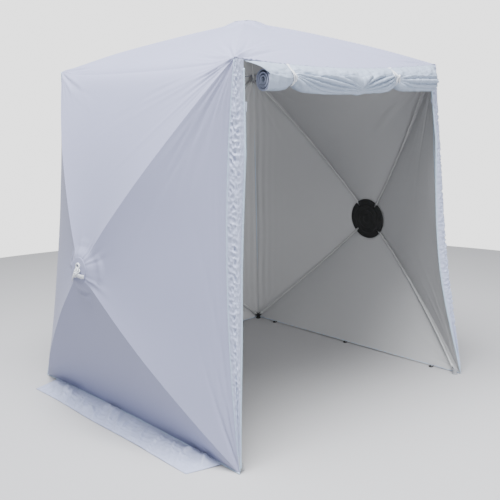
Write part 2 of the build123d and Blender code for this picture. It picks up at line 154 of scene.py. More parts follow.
def grid_faces(rows, columns, start=0, flip=False, closed_rows=False, closed_columns=False):
    faces = []
    for i in range(rows if closed_rows else rows - 1):
        for j in range(columns if closed_columns else columns - 1):
            a = start + i * columns + j
            b = start + i * columns + (j + 1) % columns
            c = start + ((i + 1) % rows) * columns + (j + 1) % columns
            d = start + ((i + 1) % rows) * columns + j
            faces.append((a, d, c, b) if flip else (a, b, c, d))
    return faces


def capped_faces(rows, sides):
    """Faces round a row of rings, with one more over the ring at each end."""
    faces = grid_faces(rows, sides, closed_columns=True)
    faces.append(tuple(range(sides))[::-1])
    faces.append(tuple(range((rows - 1) * sides, rows * sides)))
    return faces


def cloth(name, grid, outward, outside, inside, thickness=CLOTH):
    """A thin closed sheet. grid is its outer side, and outward a direction that side faces."""
    rows, columns = grid.shape[:2]
    normal = grid_normals(grid)
    faces_out = np.einsum("ijk,k->ij", normal, outward).mean() > 0
    if not faces_out:
        normal = -normal
    back = grid - normal * thickness
    points = np.concatenate([grid.reshape(-1, 3), back.reshape(-1, 3)])
    front_faces = grid_faces(rows, columns, 0, flip=faces_out)
    back_faces = grid_faces(rows, columns, rows * columns, flip=not faces_out)
    rim = list(range(columns))
    rim += [i * columns + columns - 1 for i in range(1, rows)]
    rim += [(rows - 1) * columns + j for j in range(columns - 2, -1, -1)]
    rim += [i * columns for i in range(rows - 2, 0, -1)]
    far = rows * columns
    rim_faces = []
    for a, b in zip(rim, rim[1:] + rim[:1]):
        face = (a, a + far, b + far, b)
        rim_faces.append(face if faces_out else face[::-1])
    faces = front_faces + back_faces + rim_faces
    slots = [0] * len(front_faces) + [1] * len(back_faces) + [0] * len(rim_faces)
    return mesh_object(name, points, faces, [outside, inside], slots)


def tube_grid(path, radii, sides=12, squash=1.0):
    """Rings of points along a path. radii has one radius to a point of the path."""
    path = np.asarray(path, float)
    tangent = np.gradient(path, axis=0)
    tangent /= np.linalg.norm(tangent, axis=1, keepdims=True)
    reference = UP if abs(tangent[0] @ UP) < 0.9 else np.array((1.0, 0.0, 0.0))
    rings = []
    side = unit(np.cross(tangent[0], reference))
    for point, along, radius in zip(path, tangent, radii):
        side = unit(side - along * (side @ along))
        other = np.cross(along, side)
        angles = np.linspace(0, 2 * pi, sides, endpoint=False)
        ring = point + radius * (
            np.cos(angles)[:, None] * side + squash * np.sin(angles)[:, None] * other
        )
        rings.append(ring)
    return np.array(rings)


def tube_mesh(path, radii, sides=12, squash=1.0):
    """Points and faces of a closed tube."""
    path = np.asarray(path, float)
    rings = tube_grid(path, np.broadcast_to(radii, len(path)), sides, squash)
    points = np.concatenate([rings.reshape(-1, 3), path[:1], path[-1:]])
    count = len(path) * sides
    faces = grid_faces(len(path), sides, closed_columns=True)
    for j in range(sides):
        k = (j + 1) % sides
        faces.append((count, k, j))
        faces.append((count + 1, count - sides + j, count - sides + k))
    return points, faces


def ribbon_mesh(path, across, width, thickness):
    """Points and faces of a flat band along a path. across is its width's direction at each point."""
    path = np.asarray(path, float)
    tangent = np.gradient(path, axis=0)
    tangent /= np.linalg.norm(tangent, axis=1, keepdims=True)
    across = np.broadcast_to(np.asarray(across, float), path.shape)
    across = across - tangent * np.sum(across * tangent, axis=1, keepdims=True)
    across /= np.linalg.norm(across, axis=1, keepdims=True)
    normal = np.cross(tangent, across)
    outline = [(-0.5, -0.3), (-0.42, -0.5), (0.42, -0.5), (0.5, -0.3)]
    outline += [(0.5, 0.3), (0.42, 0.5), (-0.42, 0.5), (-0.5, 0.3)]
    rings = np.array(
        [
            [p + a * width * u + n * thickness * v for u, v in outline]
            for p, a, n in zip(path, across, normal)
        ]
    )
    return rings.reshape(-1, 3), capped_faces(*rings.shape[:2])


def joined(name, parts, material, smooth_shaded=True):
    """One object from several (points, faces) pairs."""
    points, faces = [], []
    for part_points, part_faces in parts:
        start = len(points)
        points.extend(part_points)
        faces.extend(tuple(i + start for i in face) for face in part_faces)
    obj = mesh_object(name, points, faces, [material], smooth_shaded=smooth_shaded)
    fix_normals(obj)
    return obj


def fix_normals(obj):
    work = bmesh.new()
    work.from_mesh(obj.data)
    bmesh.ops.recalc_face_normals(work, faces=work.faces)
    work.to_mesh(obj.data)
    work.free()


def curve_through(points, count):
    """Points evenly spaced in parameter along a smooth curve through a few given ones."""
    points = np.asarray(points, float)
    knots = np.linspace(0, 1, len(points))
    at = np.linspace(0, 1, count)
    slopes = np.gradient(points, knots, axis=0)
    index = np.clip(np.searchsorted(knots, at, side="right") - 1, 0, len(points) - 2)
    step = knots[1] - knots[0]
    x = ((at - knots[index]) / step)[:, None]
    p0, p1 = points[index], points[index + 1]
    m0, m1 = slopes[index] * step, slopes[index + 1] * step
    return (
        (2 * x**3 - 3 * x**2 + 1) * p0
        + (x**3 - 2 * x**2 + x) * m0
        + (-2 * x**3 + 3 * x**2) * p1
        + (x**3 - x**2) * m1
    )


# ---------------- materials
def new_material(name, colour, roughness):
    material = bpy.data.materials.new(name)
    material.use_nodes = True
    shader = material.node_tree.nodes["Principled BSDF"]
    shader.inputs["Base Color"].default_value = (*colour, 1)
    shader.inputs["Roughness"].default_value = roughness
    return material, shader


def add(material, kind, **values):
    node = material.node_tree.nodes.new(kind)
    for key, value in values.items():
        if key in node.inputs:
            node.inputs[key].default_value = value
        else:
            setattr(node, key, value)
    return node


def link(material, source, target):
    material.node_tree.links.new(source, target)


def bump(material, height, strength, distance):
    """A node that turns a height into relief."""
    node = add(material, "ShaderNodeBump", Strength=strength, Distance=distance)
    link(material, height, node.inputs["Height"])
    return node


def coated_cloth(name, colour, shade, roughness, crinkle):
    """Coated nylon: a fine weave under small random creases, with faint clouding of the colour."""
    material, shader = new_material(name, colour, roughness)
    shader.inputs["Sheen Weight"].default_value = 0.08
    shader.inputs["Specular IOR Level"].default_value = 0.35
    place = add(material, "ShaderNodeTexCoord").outputs["Object"]

    cloud = add(material, "ShaderNodeTexNoise", Scale=2.2, Detail=4.0, Roughness=0.55)
    link(material, place, cloud.inputs["Vector"])
    mix = add(material, "ShaderNodeMix", data_type="RGBA")
    mix.inputs["A"].default_value = (*colour, 1)
    mix.inputs["B"].default_value = (*shade, 1)
    link(material, cloud.outputs["Fac"], mix.inputs["Factor"])
    link(material, mix.outputs["Result"], shader.inputs["Base Color"])

    creases = add(material, "ShaderNodeTexNoise", Scale=26.0, Detail=5.0, Roughness=0.6)
    creases.inputs["Distortion"].default_value = 0.6
    link(material, place, creases.inputs["Vector"])
    crease_bump = bump(material, creases.outputs["Fac"], crinkle, 0.004)

    warp = add(material, "ShaderNodeTexWave", Scale=420.0, Distortion=0.4, bands_direction="Z")
    weft = add(material, "ShaderNodeTexWave", Scale=420.0, Distortion=0.4, bands_direction="DIAGONAL")
    threads = add(material, "ShaderNodeMath", operation="MULTIPLY")
    link(material, place, warp.inputs["Vector"])
    link(material, place, weft.inputs["Vector"])
    link(material, warp.outputs["Fac"], threads.inputs[0])
    link(material, weft.outputs["Fac"], threads.inputs[1])
    weave_bump = bump(material, threads.outputs["Value"], 0.12, 0.0003)
    link(material, crease_bump.outputs["Normal"], weave_bump.inputs["Normal"])
    link(material, weave_bump.outputs["Normal"], shader.inputs["Normal"])
    return material


def moulded(name, colour, roughness, grain=180.0, depth=0.15):
    """Moulded plastic with a fine spark-eroded grain."""
    material, shader = new_material(name, colour, roughness)
    place = add(material, "ShaderNodeTexCoord").outputs["Object"]
    noise = add(material, "ShaderNodeTexNoise", Scale=grain, Detail=3.0)
    link(material, place, noise.inputs["Vector"])
    relief = bump(material, noise.outputs["Fac"], depth, 0.0006)
    link(material, relief.outputs["Normal"], shader.inputs["Normal"])
    ramp = add(material, "ShaderNodeMapRange")
    ramp.inputs["To Min"].default_value = max(roughness - 0.08, 0.05)
    ramp.inputs["To Max"].default_value = min(roughness + 0.10, 1.0)
    link(material, noise.outputs["Fac"], ramp.inputs["Value"])
    link(material, ramp.outputs["Result"], shader.inputs["Roughness"])
    return material


OUTER = coated_cloth("outer_cloth", (0.325, 0.340, 0.49), (0.30, 0.315, 0.46), 0.60, 0.10)
INNER = coated_cloth("inner_cloth", (0.50, 0.505, 0.515), (0.46, 0.465, 0.475), 0.70, 0.06)
DOOR = coated_cloth("door_cloth", (0.36, 0.42, 0.53), (0.29, 0.35, 0.46), 0.42, 0.30)
STRIP = coated_cloth("strip_cloth", (0.42, 0.46, 0.62), (0.37, 0.41, 0.57), 0.42, 0.22)
BINDING = coated_cloth("binding_tape", (0.44, 0.55, 0.68), (0.40, 0.50, 0.62), 0.50, 0.10)
WEBBING = coated_cloth("white_webbing", (0.66, 0.68, 0.72), (0.56, 0.58, 0.62), 0.70, 0.45)
DARK_WEBBING = coated_cloth("dark_webbing", (0.030, 0.031, 0.034), (0.05, 0.05, 0.05), 0.75, 0.40)
POLE = moulded("grey_fibreglass", (0.52, 0.53, 0.53), 0.42)
BLACK = moulded("black_nylon", (0.012, 0.013, 0.013), 0.50)
GREY_PLASTIC = moulded("grey_nylon", (0.30, 0.31, 0.33), 0.50)
SLIDER = moulded("painted_slider", (0.34, 0.38, 0.48), 0.40)


def stands_for(obj, node, body="frame"):
    """The piece takes a CAD node's place, and the node is hidden; the piece moves with a body."""
    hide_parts(node)
    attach(obj, body)


def repaint(name, *materials):
    """Gives a piece of the CAD model these materials."""
    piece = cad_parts[name]
    piece.data.materials.clear()
    for material in materials:
        piece.data.materials.append(material)
    return piece


# ---------------- faces, edges and panels
class Edge:
    """A seam between two corners, drawn off the straight line by the cloth on both sides of it.

    sag is how far its middle is drawn; rounding is how far the seam is set back because the cloth
    rolls over it instead of creasing; pucker is the height of the gathers along it.
    """

    def __init__(self, start, end, sag, rounding=(0, 0, 0), pucker=0.0, seed=0):
        self.start, self.end = np.asarray(start, float), np.asarray(end, float)
        self.length = np.linalg.norm(self.end - self.start)
        self.along = (self.end - self.start) / self.length
        self.sag = np.asarray(sag, float)
        self.rounding = np.asarray(rounding, float)
        self.pucker = pucker
        self.seed = seed
        set_back = self.sag + self.rounding
        self.outward = -set_back / max(np.linalg.norm(set_back), 1e-9)

    def shift(self, s, distance):
        """The shift of cloth at a share s of the way along and a distance from the seam."""
        arc = 4 * s * (1 - s)
        pull = arc * np.exp(-pi * distance / self.length)
        from_end = np.minimum(s, 1 - s) * self.length
        rolled = smooth(from_end / 0.18) * np.exp(-distance / 0.045)
        gathers = ripples(s * self.length, distance * 0.3, 0.022, self.seed, 10)
        gathers = gathers * self.pucker * smooth(from_end / 0.05) * np.exp(-distance / 0.016)
        return (
            pull[..., None] * self.sag
            + rolled[..., None] * self.rounding
            + gathers[..., None] * self.outward
        )

    def curve(self, count, trim=0.0):
        s = np.linspace(trim / self.length, 1 - trim / self.length, count)
        line = self.start + (s * self.length)[:, None] * self.along
        return line + self.shift(s, np.zeros(count))


def low(x, y):
    return (x * BASE / 2, CENTRE_Y + y * BASE / 2, 0.004)


def high(x, y):
    return (x * TOP / 2, CENTRE_Y + y * TOP / 2, WALL_HEIGHT)


EDGES = {
    "eave_front": Edge(high(-1, -1), high(1, -1), (0, 0.010, -0.034), (0, 0, 0), 0.0010, 1),
    "eave_right": Edge(high(1, -1), high(1, 1), (-0.008, 0, -0.016), (-0.017, 0, -0.016), 0.0004, 2),
    "eave_back": Edge(high(1, 1), high(-1, 1), (0, -0.008, -0.016), (0, -0.017, -0.016), 0.0004, 3),
    "eave_left": Edge(high(-1, 1), high(-1, -1), (0.008, 0, -0.016), (0.017, 0, -0.016), 0.0004, 4),
    "corner_front_left": Edge(low(-1, -1), high(-1, -1), (0, 0.070, 0), pucker=0.0012, seed=5),
    "corner_front_right": Edge(low(1, -1), high(1, -1), (0, 0.070, 0), pucker=0.0012, seed=6),
    "corner_back_left": Edge(
        low(-1, 1), high(-1, 1), (0.020, -0.020, 0), (0.004, -0.004, 0), 0.0006, 7
    ),
    "corner_back_right": Edge(
        low(1, 1), high(1, 1), (-0.020, -0.020, 0), (-0.004, -0.004, 0), 0.0006, 8
    ),
    "ground_left": Edge(low(-1, 1), low(-1, -1), (0.012, 0, 0.003), pucker=0.0005, seed=9),
    "ground_back": Edge(low(-1, 1), low(1, 1), (0, -0.012, 0.003), pucker=0.0005, seed=10),
    "ground_right": Edge(low(1, 1), low(1, -1), (-0.012, 0, 0.006), pucker=0.0008, seed=11),
}


def edge_of(face, side):
    if face == "roof":
        return EDGES[f"eave_{side}"]
    if side == "top":
        return EDGES[f"eave_{face}"]
    if side == "bottom":
        return EDGES[f"ground_{face}"]
    return EDGES["corner_" + "_".join(sorted((face, side)))]


class Face:
    """Four corners in one plane and the hub that stands out of it, as in the CAD model."""

    def __init__(self, name, origin, right, outward, corners, bulge, bow, sides, seed):
        self.name = name
        self.origin = np.asarray(origin, float)
        self.right = unit(right)
        self.outward = unit(outward)
        self.up = np.cross(self.outward, self.right)
        self.corners = [np.array(c) for c in corners]
        self.bulge = bulge
        self.bow = bow
        self.sides = sides
        self.seed = seed
        low_side, plus, high_side, minus = sides
        ends = [(low_side, minus), (low_side, plus), (high_side, plus), (high_side, minus)]
        self.corner_names = [f"{level}_{side}" for level, side in ends]
        rng = np.random.default_rng(seed)
        self.hub_folds = [
            (rng.uniform(-pi, pi), rng.uniform(0.07, 0.16), rng.uniform(-1, 1))
            for _ in range(26)
        ]

    def at(self, plan, height):
        return (
            self.origin
            + plan[..., :1] * self.right
            + plan[..., 1:] * self.up
            + np.asarray(height)[..., None] * self.outward
        )

    def lift(self, t, bowed=1.0):
        """Height at a share t of the way from corner to hub, over a pole or between two of them."""
        return self.bulge * t + 4 * self.bow * t * (1 - t) * bowed

    def over_hub(self, plan, height):
        """The cloth's height where it is held up by the round plate of the hub, with its folds."""
        radius = np.linalg.norm(plan, axis=-1)
        held = 1 - smooth((radius - PLATE_RADIUS) / HUB_HOLDS)
        height = height + (self.bulge + 0.0012 - height) * held**1.4
        past_rim = np.maximum(0, radius - DISC_RADIUS - RIM_MARGIN)
        over_rim = self.bulge + DISC_LEVEL + RIM_COVER - RIM_SLOPE * past_rim
        height = np.logaddexp(height / RIM_SOFTNESS, over_rim / RIM_SOFTNESS) * RIM_SOFTNESS
        angle = np.arctan2(plan[..., 1], plan[..., 0])
        relief = np.zeros_like(height)
        for place, width, size in self.hub_folds:
            apart = (angle - place + pi) % (2 * pi) - pi
            relief += size * np.exp(-((apart / width) ** 2))
        fade = smooth((radius - PLATE_RADIUS) / 0.03) * np.exp(-(((radius - 0.09) / 0.09) ** 2))
        return height + HUB_FOLD_HEIGHT * relief * fade


def wall_face(name, turn, plus, minus, seed):
    level = level_way(turn)
    outward = level * cos(LEAN) + UP * sin(LEAN)
    foot = np.array((0, CENTRE_Y, HUB_HEIGHT)) + level * (BASE / 2 - HUB_HEIGHT * tan(LEAN))
    below, above = HUB_HEIGHT / cos(LEAN), (WALL_HEIGHT - HUB_HEIGHT) / cos(LEAN)
    corners = [(-BASE / 2, -below), (BASE / 2, -below), (TOP / 2, above), (-TOP / 2, above)]
    sides = ("bottom", plus, "top", minus)
    right = np.cross(UP, level)
    return Face(name, foot, right, outward, corners, WALL_BULGE, WALL_BOW, sides, seed)


ROOF_CORNERS = [(-TOP / 2, -TOP / 2), (TOP / 2, -TOP / 2), (TOP / 2, TOP / 2), (-TOP / 2, TOP / 2)]
ROOF_SIDES = ("front", "right", "back", "left")
FACES = [
    wall_face("left", 180, "front", "back", 21),
    wall_face("back", 90, "left", "right", 22),
    wall_face("right", 0, "back", "front", 23),
    Face("roof", (0, CENTRE_Y, WALL_HEIGHT), (1, 0, 0), UP, ROOF_CORNERS, ROOF_RISE, ROOF_BOW,
         ROOF_SIDES, 24),
]

# how the cloth gathers at a corner: folds, how far they reach, their height, and their spread
FOLDS = {
    "ordinary": (8, 0.11, 0.0026, 0.030),
    "eave": (14, 0.085, 0.0034, 0.020),
    "front_eave": (22, 0.15, 0.0048, 0.011),
    "seam_foot": (14, 0.17, 0.0100, 0.013),
}


def corner_folds(plan, corner, other, inward, strength, seed):
    """Relief of the folds that fan out from a corner, between the edge and the pole."""
    count, reach, height, spread = FOLDS[strength]
    rng = np.random.default_rng(seed)
    along = (other - corner) / np.linalg.norm(other - corner)
    offset = plan - corner
    radius = np.linalg.norm(offset, axis=-1) + 1e-9
    angle = np.arctan2(offset @ inward, offset @ along)
    to_hub = -corner / np.linalg.norm(corner)
    opening = np.arctan2(to_hub @ inward, to_hub @ along)
    share = np.clip(angle / opening, 0, 1)
    relief = np.zeros_like(radius)
    for _ in range(count):
        place = rng.uniform(0.06, 0.9) ** (3.2 if strength == "seam_foot" else 1.0)
        length = reach * rng.uniform(0.5, 1.4)
        size = rng.uniform(0.35, 1.0) * rng.choice((-1, 1))
        bend = rng.uniform(-0.06, 0.06)
        apart = (share - place - bend * radius / reach) * opening * radius
        width = 0.004 + spread * radius
        profile = np.exp(-((apart / width) ** 2))
        relief += size * profile * (radius / length) * np.exp(1 - radius / length)
    return height * relief * np.sin(pi * share) ** 0.7


# the folds that run up beside the corner seams: their pitch and height
UPRIGHT_FOLDS = {
    EDGES["corner_back_left"]: (0.044, 0.0042),
    EDGES["corner_back_right"]: (0.044, 0.0042),
    EDGES["corner_front_left"]: (0.030, 0.0026),
    EDGES["corner_front_right"]: (0.030, 0.0026),
}


class Panel:
    """One of the four triangles of cloth of a face."""

    def __init__(self, face, number):
        self.face = face
        self.side = face.sides[number]
        self.name = f"{face.name}_panel_{self.side}"
        self.number = number
        self.a, self.b = face.corners[number], face.corners[(number + 1) % 4]
        self.length = np.linalg.norm(self.b - self.a)
        self.along = (self.b - self.a) / self.length
        self.inward = np.array((-self.along[1], self.along[0]))
        self.depth = -self.a @ self.inward
        self.slant = np.hypot(self.depth, face.bulge)
        self.edge = edge_of(face.name, self.side)

    def fold_kinds(self):
        """The kinds of fold at the panel's two corners."""
        kinds = []
        for corner in (self.a, self.b):
            at_top = self.face.name == "roof" or corner[1] > 0
            kind = "eave" if at_top else "ordinary"
            if at_top and self.face.at(corner, 0.0)[1] < CENTRE_Y:
                kind = "front_eave"
            if self.side == "front" and self.face.name != "roof" and not at_top:
                kind = "seam_foot"
            kinds.append(kind)
        return kinds

    def grid(self, columns=130, rows=100):
        s = np.linspace(0, 1, columns + 1)
        s = 0.5 - 0.5 * np.cos(pi * s) * (0.35 + 0.65 * np.abs(np.cos(pi * s)) ** 0.5)
        s = (s - s[0]) / (s[-1] - s[0])
        t = PANEL_END * np.linspace(0, 1, rows + 1) ** 1.25
        t, s = np.meshgrid(t, s, indexing="ij")
        plan = (1 - t)[..., None] * (self.a + s[..., None] * (self.b - self.a))
        away = t * self.depth
        saddle = 4 * s * (1 - s)
        face = self.face
        height = face.over_hub(plan, face.lift(t, 1 - 0.55 * saddle))
        inner = 1 - np.exp(-away / 0.06)
        slack = ripples(plan[..., 0], plan[..., 1], 0.55, face.seed, 10)
        height = height + SLACK * slack * inner
        if self.edge in UPRIGHT_FOLDS:
            pitch, size = UPRIGHT_FOLDS[self.edge]
            sway = 0.008 * np.sin(5 * s + 1) + 0.004 * np.sin(13 * s)
            drape = np.cos(2 * pi * (away + sway) / pitch) * np.exp(-away / (1.25 * pitch))
            height = height + size * drape * smooth(s / 0.08) * smooth((1 - s) / 0.08)
        kinds = self.fold_kinds()
        seed = 100 * face.seed + self.number
        height = height + corner_folds(plan, self.a, self.b, self.inward, kinds[0], seed)
        height = height + corner_folds(plan, self.b, self.a, self.inward, kinds[1], seed + 50)
        points = face.at(plan, height)
        straight = face.at(self.a + s[..., None] * (self.b - self.a), np.zeros_like(s))
        share = (straight - self.edge.start) @ self.edge.along / self.edge.length
        share = np.clip(share, 0, 1)
        points = points + self.edge.shift(share, away) * (1 - t[..., None]) ** 2
        if face.name != "roof" and self.side != "top":
            points[..., 2] = np.maximum(points[..., 2], GROUND_CLEARANCE)
        return points

    def moves(self, obj):
        """Bakes the panel's placement into its points. The places where it would stay on the frame
        and go with the hub are worked out but not used.
        """
        middle = (self.a + self.b) / 2
        start = self.face.at(middle + self.inward * self.depth * FLAT_UNTIL, 0.0)
        end = self.face.at(middle + self.inward * self.depth * MOVES_FROM, 0.0)
        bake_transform(obj)


PANELS = [Panel(face, number) for face in FACES for number in range(4)]

for panel in PANELS:
    fabric_name = panel.name.replace("panel", "fabric")
    fabric = cloth(fabric_name, panel.grid(), panel.face.outward, OUTER, INNER)
    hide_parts(panel.name)
    panel.moves(fabric)


# ---------------- poles
FERRULE_RADIUS = 0.0062
EYE_RADIUS = 0.0068
EYE_REACH = 1.2  # of the way to the next point of the pole's path


def pole_path(face, corner, count=60):
    """The pole's axis, a shallow bow from the pin at its corner to its channel in the hub."""
    reach = np.linalg.norm(corner) - PIVOT_INSET - POLE_END_RADIUS
    x = np.linspace(0, 1, count)
    away = np.linalg.norm(corner) - PIVOT_INSET - x * reach
    plan = away[:, None] * corner / np.linalg.norm(corner)
    return face.at(plan, face.lift(x) - PIVOT_DEPTH)


def pole_parts(path):
    """The rod, its ferrule at the hub and the eye on its pin."""
    parts = [tube_mesh(path, POLE_RADIUS, 14)]
    parts.append(tube_mesh(path[-3:], FERRULE_RADIUS, 14))
    pin, following = path[:2]
    parts.append(tube_mesh([pin, pin + (following - pin) * EYE_REACH], EYE_RADIUS, 14))
    return parts


for face in FACES:
    for corner, corner_name in zip(face.corners, face.corner_names):
        path = pole_path(face, corner)
        pole = joined(f"{face.name}_rod_{corner_name}", pole_parts(path), POLE)
        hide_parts(f"{face.name}_pole_{corner_name}")
        start = face.at(corner * (1 - FLAT_UNTIL), 0.0)
        end = face.at(corner * (1 - MOVES_FROM), 0.0)
        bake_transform(pole)


# ---------------- hubs
# the disc's section from its middle round to its back: radius, and rise of its face there
DISC_SECTION = (
    (0.002, 0.0042), (0.016, 0.0040), (0.030, 0.0030), (0.034, 0.0006), (0.040, 0.0000),
    (0.059, 0.0000), (0.0605, 0.0018), (0.0635, 0.0018), (0.065, 0.0000), (0.091, 0.0000),
    (0.0925, 0.0020), (0.0955, 0.0020), (0.097, 0.0002), (0.128, 0.0000), (0.130, 0.0012),
    (0.1345, 0.0012), (0.1365, -0.0002), (0.1370, -0.0018), (0.1360, -0.0040),
    (0.060, -0.0040), (0.002, -0.0040),
)
# a cap's section from its foot to its middle, as shares of its radius and of its rise
CAP_SECTION = ((1.0, 0.0), (1.0, 0.35), (0.985, 0.75), (0.95, 1.0), (0.5, 1.0), (0.02, 1.0))
PATCH_RADIUS = 0.066
PATCH_RISE = 0.0022
RING_RADIUS = 0.0150
RING_WIRE = 0.0045
RING_CENTRE = (0.0, 0.018)
STRAP_SIZE = (0.019, 0.0050)
# the ways of the three bands of a pull, as places across the hub and heights over it
STRAP_WAYS = (
    ((0.0, 0.012, 0.006), (0.006, -0.004, 0.013), (-0.010, -0.020, 0.015),
     (-0.030, -0.034, 0.010), (-0.044, -0.048, 0.004)),
    ((0.0, 0.012, 0.008), (-0.006, -0.006, 0.015), (0.012, -0.018, 0.014),
     (0.030, -0.022, 0.009), (0.046, -0.022, 0.004)),
    ((-0.016, -0.004, 0.006), (-0.008, -0.018, 0.017), (0.008, -0.020, 0.018),
     (0.018, -0.006, 0.008), (0.004, 0.004, 0.006)),
)
STRAP_SPREAD = 1.2  # how much wider than those places the bands lie
STRAP_LIFT = 1.3  # and how much higher
ROOF_PULL_LIFT = 0.3  # the roof's pull lies flatter, by this factor


def notch(angle, face):
    """How far the disc's rim is cut in at an angle, for the four poles."""
    cut = np.zeros_like(angle)
    for corner in face.corners:
        apart = (angle - atan2(corner[1], corner[0]) + pi) % (2 * pi) - pi
        across = np.abs(apart) * DISC_RADIUS
        inside = 1 - smooth((across - NOTCH_HALF_WIDTH) / 0.0035)
        cut = np.maximum(cut, NOTCH_DEPTH * inside)
    return cut


def disc_mesh(face, sides=360):
    """The hub's large disc as rings from its middle to its rim, over the face and round the back."""
    angle = np.linspace(0, 2 * pi, sides, endpoint=False)
    rim = DISC_RADIUS - notch(angle, face)
    rings = []
    for radius, rise in DISC_SECTION:
        reach = np.minimum(radius, rim * (1 - 0.1 * max(0.0, DISC_RADIUS - radius)))
        plan = np.stack([reach * np.cos(angle), reach * np.sin(angle)], axis=-1)
        level = face.bulge + DISC_LEVEL - rise
        rings.append(face.at(plan, np.full(sides, level)))
    return np.concatenate(rings), capped_faces(len(rings), sides)


def pull_ring(face, level, squash, sides=48, wire_sides=12):
    """The pull's ring, lying on the patch over the hub."""
    angle = np.linspace(0, 2 * pi, sides, endpoint=False)
    turn = np.linspace(0, 2 * pi, wire_sides, endpoint=False)
    reach = RING_RADIUS + RING_WIRE * np.cos(turn)[None, :]
    plan = np.stack(
        [
            RING_CENTRE[0] + reach * np.cos(angle)[:, None],
            RING_CENTRE[1] + reach * np.sin(angle)[:, None],
        ],
        axis=-1,
    )
    height = level + squash * RING_WIRE * np.sin(turn)[None, :] + np.zeros((sides, 1))
    rings = face.at(plan, height)
    faces = grid_faces(sides, wire_sides, closed_rows=True, closed_columns=True)
    return rings.reshape(-1, 3), faces


def round_plate(face, outline_radius, level, rise, sides=72):
    """A low round cap with a rolled rim."""
    angle = np.linspace(0, 2 * pi, sides, endpoint=False)
    rings = []
    for share, height in CAP_SECTION:
        plan = share * outline_radius * np.stack([np.cos(angle), np.sin(angle)], axis=-1)
        rings.append(face.at(plan, np.full(sides, level + height * rise)))
    return np.concatenate(rings), capped_faces(len(rings), sides)


def pull_parts(face):
    """The ring in the patch and the knotted webbing that hangs from it."""
    level = face.bulge
    loose = ROOF_PULL_LIFT if face.name == "roof" else 1.0
    parts = [pull_ring(face, level + 0.0060 * loose + 0.0010, loose)]
    for way in STRAP_WAYS:
        way = curve_through(way, 36)
        path = face.at(STRAP_SPREAD * way[:, :2], level + STRAP_LIFT * loose * way[:, 2])
        turn = np.linspace(0.3, 1.6, 36)[:, None]
        across = np.cos(turn) * face.right + np.sin(turn) * face.up
        parts.append(ribbon_mesh(path, across, *STRAP_SIZE))
    return parts


for face in FACES:
    hub = f"{face.name}_hub"
    disc = joined(f"{hub}_black_disc", [disc_mesh(face)], BLACK)
    stands_for(disc, f"{hub}_disc", hub)

    repaint(f"{hub}_core", BLACK)

    cap = round_plate(face, PATCH_RADIUS, face.bulge + 0.0008, PATCH_RISE)
    patch = joined(f"{hub}_patch", [cap], OUTER)
    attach(patch, hub)

    pull = joined(f"{hub}_pull_strap", pull_parts(face), WEBBING)
    stands_for(pull, f"{hub}_pull", hub)


# ---------------- corner fittings and seams
# the two fittings at the foot of the back wall are black, and the others grey
for name in ("bottom_corner_fittings", "top_corner_fittings"):
    fitting = repaint(name, BLACK, GREY_PLASTIC)
    place = fitting.matrix_world
    for polygon in fitting.data.polygons:
        middle = place @ polygon.center
        polygon.material_index = int(middle.y < CENTRE_Y or middle.z > WALL_HEIGHT / 2)

BINDING_RADIUS = 0.0030
EAVE_BINDING_RADIUS = 0.0016
PIPING_RADIUS = 0.0038
HEM_RADIUS = 0.0036

# the back corners' bindings stand off their seams, so that they don't show inside
corner_bindings = []
for name in ("corner_back_left", "corner_back_right"):
    path = EDGES[name].curve(160) + BINDING_RADIUS * EDGES[name].outward
    corner_bindings.append(tube_mesh(path, BINDING_RADIUS, 10))
for name in ("corner_front_left", "corner_front_right"):
    corner_bindings.append(tube_mesh(EDGES[name].curve(160, 0.01), BINDING_RADIUS, 10))
bindings = joined("corner_bindings", corner_bindings, BINDING)
stands_for(bindings, "corner_seams")

# the front eave has a thick piping, and the cloth rolls over the bindings of the others
eaves = []
for side in ROOF_SIDES[1:]:
    edge = EDGES[f"eave_{side}"]
    eaves.append(tube_mesh(edge.curve(160) - 0.0030 * edge.outward, EAVE_BINDING_RADIUS, 8))
front_piping = EDGES["eave_front"].curve(420)
front_piping[:, 2] += 0.0010 * ripples(front_piping[:, 0], 0.0, 0.024, 61, 12)
eaves.append(tube_mesh(front_piping, PIPING_RADIUS, 12))
eave_bindings = joined("eave_bindings", eaves, OUTER)
stands_for(eave_bindings, "eave_seams")

hems = []
for side in ("left", "back", "right"):
    edge = EDGES[f"ground_{side}"]
    path = edge.curve(200) + 0.0040 * unit(edge.outward * (1, 1, 0))
    hems.append(tube_mesh(path, HEM_RADIUS, 12))
ground_bindings = joined("ground_bindings", hems, BINDING)
stands_for(ground_bindings, "ground_hems")


# ---------------- jamb strips and zips
DRAWN_IN = 0.058  # how far the strip's free edge is drawn into the doorway
DRAWN_BACK = 0.044  # and how far back into the cabin
TAPE_RADIUS = 0.0052
TAPE_SQUASH = 0.8
COIL_OFFSET = 0.0060  # from the strip's edge to the zip's coil
COIL_RADIUS = 0.0022
TOOTH_HEIGHT = 0.0006
TOOTH_PITCH = 0.0030


